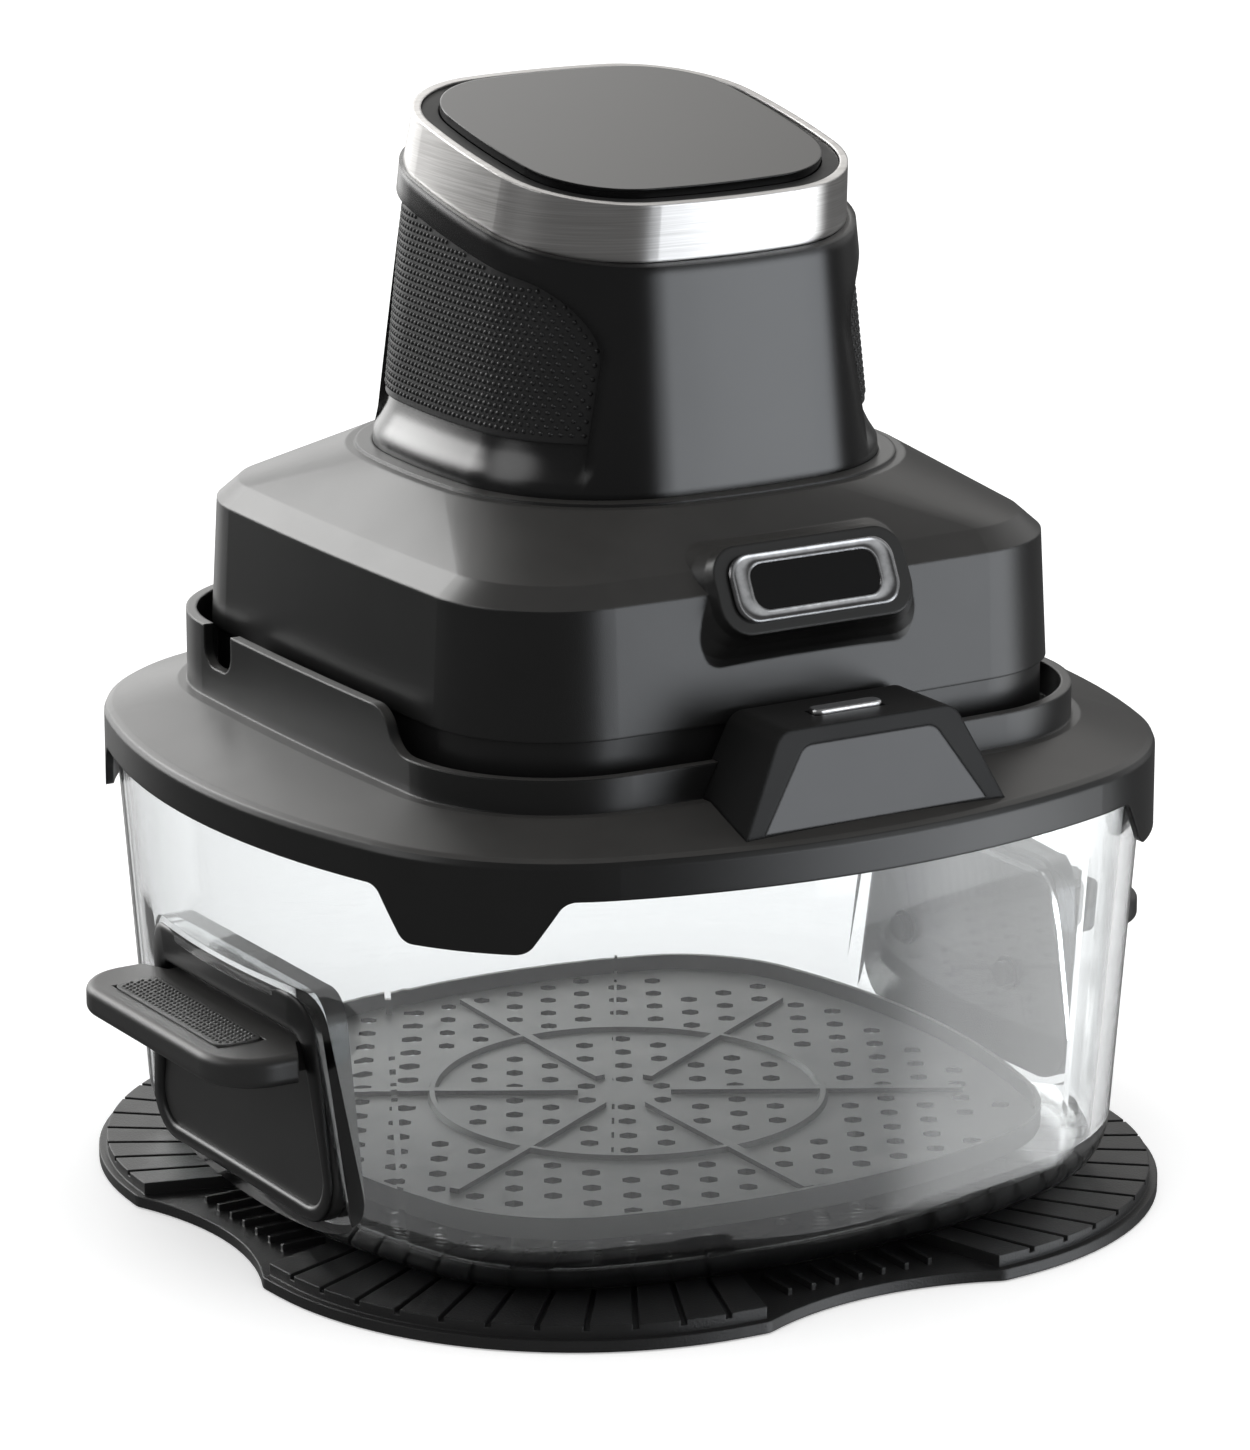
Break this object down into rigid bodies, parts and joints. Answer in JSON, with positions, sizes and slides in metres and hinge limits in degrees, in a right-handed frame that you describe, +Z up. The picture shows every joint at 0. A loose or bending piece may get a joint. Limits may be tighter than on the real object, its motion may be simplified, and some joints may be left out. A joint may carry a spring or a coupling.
{
  "type": "air cooker",
  "caption": "Countertop air cooker: clear bowl on a grooved mat, lift-off lid ring with push latch, and a head with fan, heater and a tower carrying a touch panel.",
  "frame": {"origin": "on the table, under the middle of the mat", "axes": "+Z up, -Y to the front with latch and badge, +X to the right seen from the front"},
  "size_m": [0.324, 0.2916, 0.3286],
  "materials": {
    "mat_rubber": "matt moulded",
    "clear_glass": "clear polished",
    "black_plastic": "satin moulded",
    "soft_black": "fine dimples",
    "gloss_black": "polished",
    "grey_gloss": "polished",
    "plate_grey": "satin coating",
    "steel": "brushed",
    "bright_metal": "bright",
    "screw_steel": "plated",
    "silicone": "soft",
    "aluminium": "plain sheet",
    "heater_tube": "oxidised",
    "board_green": "solder mask"
  },
  "bodies": {
    "mat": {"base_mat": "mat_rubber"},
    "bowl": {"glass_bowl": "clear_glass", "left_handle": "black_plastic", "right_handle": "black_plastic", "left_grip_pad": "soft_black", "right_grip_pad": "soft_black", "handle_screws": "screw_steel", "handle_washers": "screw_steel"},
    "crisper": {"crisper_plate": "plate_grey", "plate_feet": "silicone"},
    "lid": {"lid_ring": "black_plastic", "ring_seal": "silicone", "latch_housing": "black_plastic", "latch_panel": "grey_gloss", "latch_tongue": "steel", "latch_screws": "screw_steel"},
    "button": {"release_button": "bright_metal"},
    "head": {"head_base": "black_plastic", "head_housing": "black_plastic", "housing_screws": "screw_steel", "tower_shell": "black_plastic", "left_grip_panel": "soft_black", "right_grip_panel": "soft_black", "steel_band": "steel", "panel_bezel": "black_plastic", "touch_panel": "gloss_black", "control_board": "board_green", "badge_frame": "bright_metal", "badge_plate": "gloss_black", "motor": "steel", "motor_bracket": "aluminium", "heat_reflector": "aluminium", "heating_element": "heater_tube", "heater_guard": "aluminium", "temperature_sensor": "steel", "thermal_cutout": "gloss_black", "power_board": "board_green", "board_spacers": "black_plastic", "cord_gland": "soft_black"},
    "rotor": {"motor_shaft": "steel", "convection_fan": "aluminium", "fan_nut": "screw_steel", "cooling_fan": "black_plastic"}
  },
  "joints": [
    {"name": "bowl_lift", "type": "slide", "parent": "mat", "child": "bowl", "axis": [0, 0, 1], "range_m": [0, 0.1]},
    {"name": "plate_lift", "type": "slide", "parent": "bowl", "child": "crisper", "axis": [0, 0, 1], "range_m": [0, 0.09]},
    {"name": "lid_lift", "type": "slide", "parent": "bowl", "child": "lid", "axis": [0, 0, 1], "range_m": [0, 0.12]},
    {"name": "head_lift", "type": "slide", "parent": "lid", "child": "head", "axis": [0, 0, 1], "range_m": [0, 0.12], "deforming": ["latch_tongue"]},
    {"name": "release_press", "type": "slide", "parent": "lid", "child": "button", "axis": [0, 0, -1], "range_m": [0, 0.0025], "stiffness_N_per_m": 900, "deforming": ["latch_tongue"]},
    {"name": "fan_spin", "type": "hinge", "parent": "head", "child": "rotor", "pos_m": [0, 0, 0.2], "axis": [0, 0, 1], "continuous": true}
  ]
}
